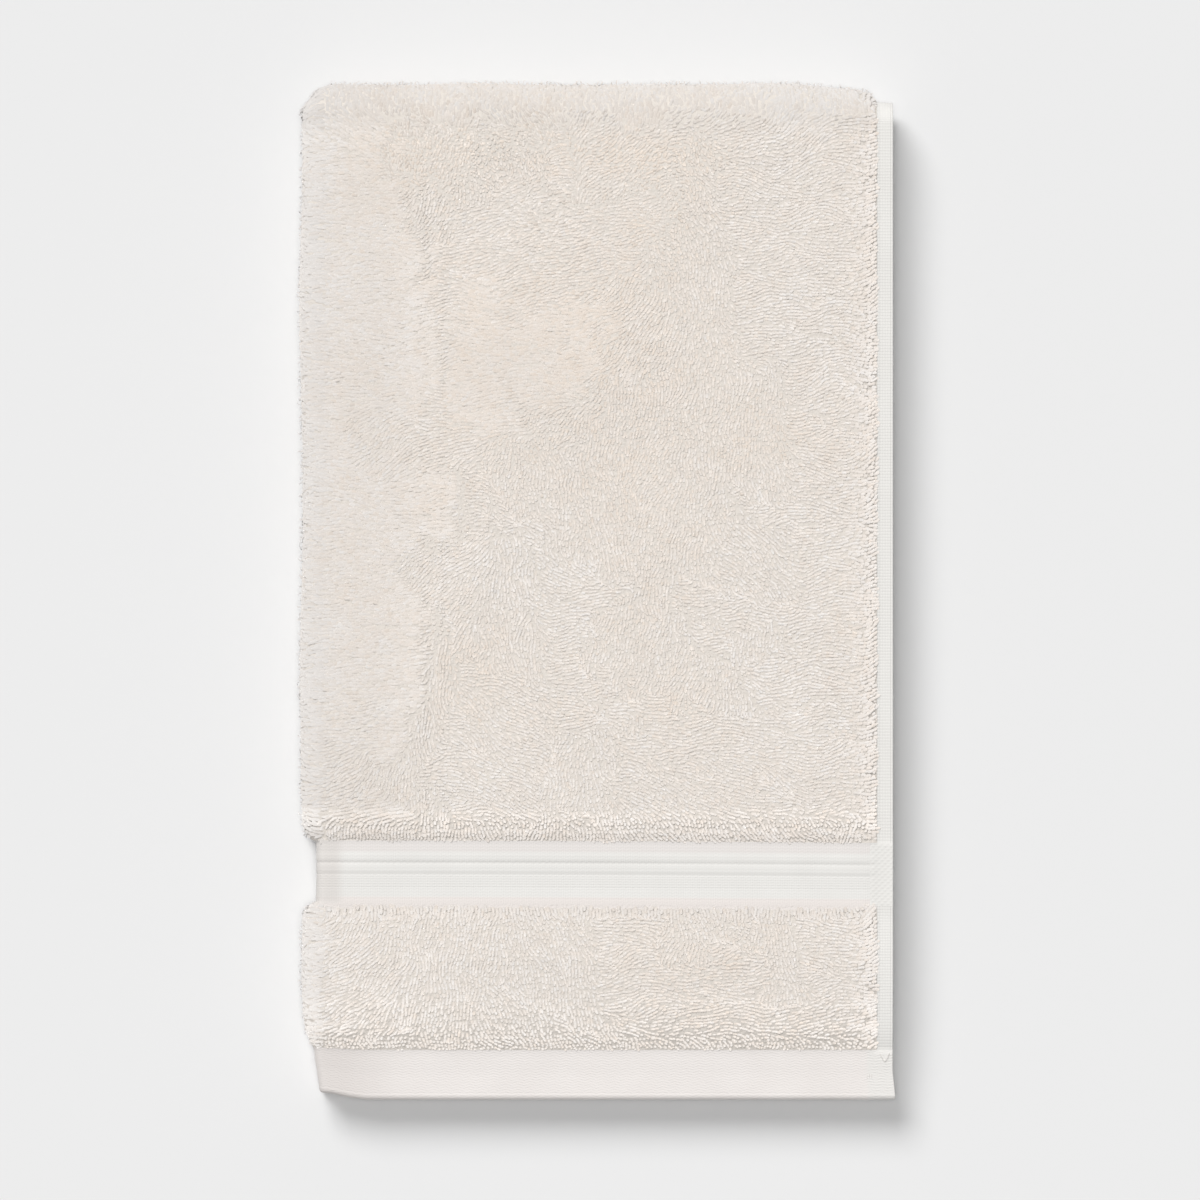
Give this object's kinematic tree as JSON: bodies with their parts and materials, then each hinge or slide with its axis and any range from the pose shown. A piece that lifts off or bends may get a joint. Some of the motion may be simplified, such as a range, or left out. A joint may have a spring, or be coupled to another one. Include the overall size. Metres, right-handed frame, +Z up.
{
  "type": "folded hand towel",
  "caption": "Cream terry hand towel folded in quarters and lying flat, with ribbed woven borders, flat turned hems and woven side edges.",
  "frame": {"origin": "centre of the box around the folded towel, on the surface that it lies on", "axes": "+Z up through the layers, +Y along the folded towel from its hems to the crosswise fold, +X from the lengthwise fold to the woven side edges"},
  "size_m": [0.207, 0.353, 0.026],
  "materials": {
    "cream_cotton": "matte looped cotton pile"
  },
  "bodies": {
    "root": {"towel": "cream_cotton"}
  },
  "joints": []
}
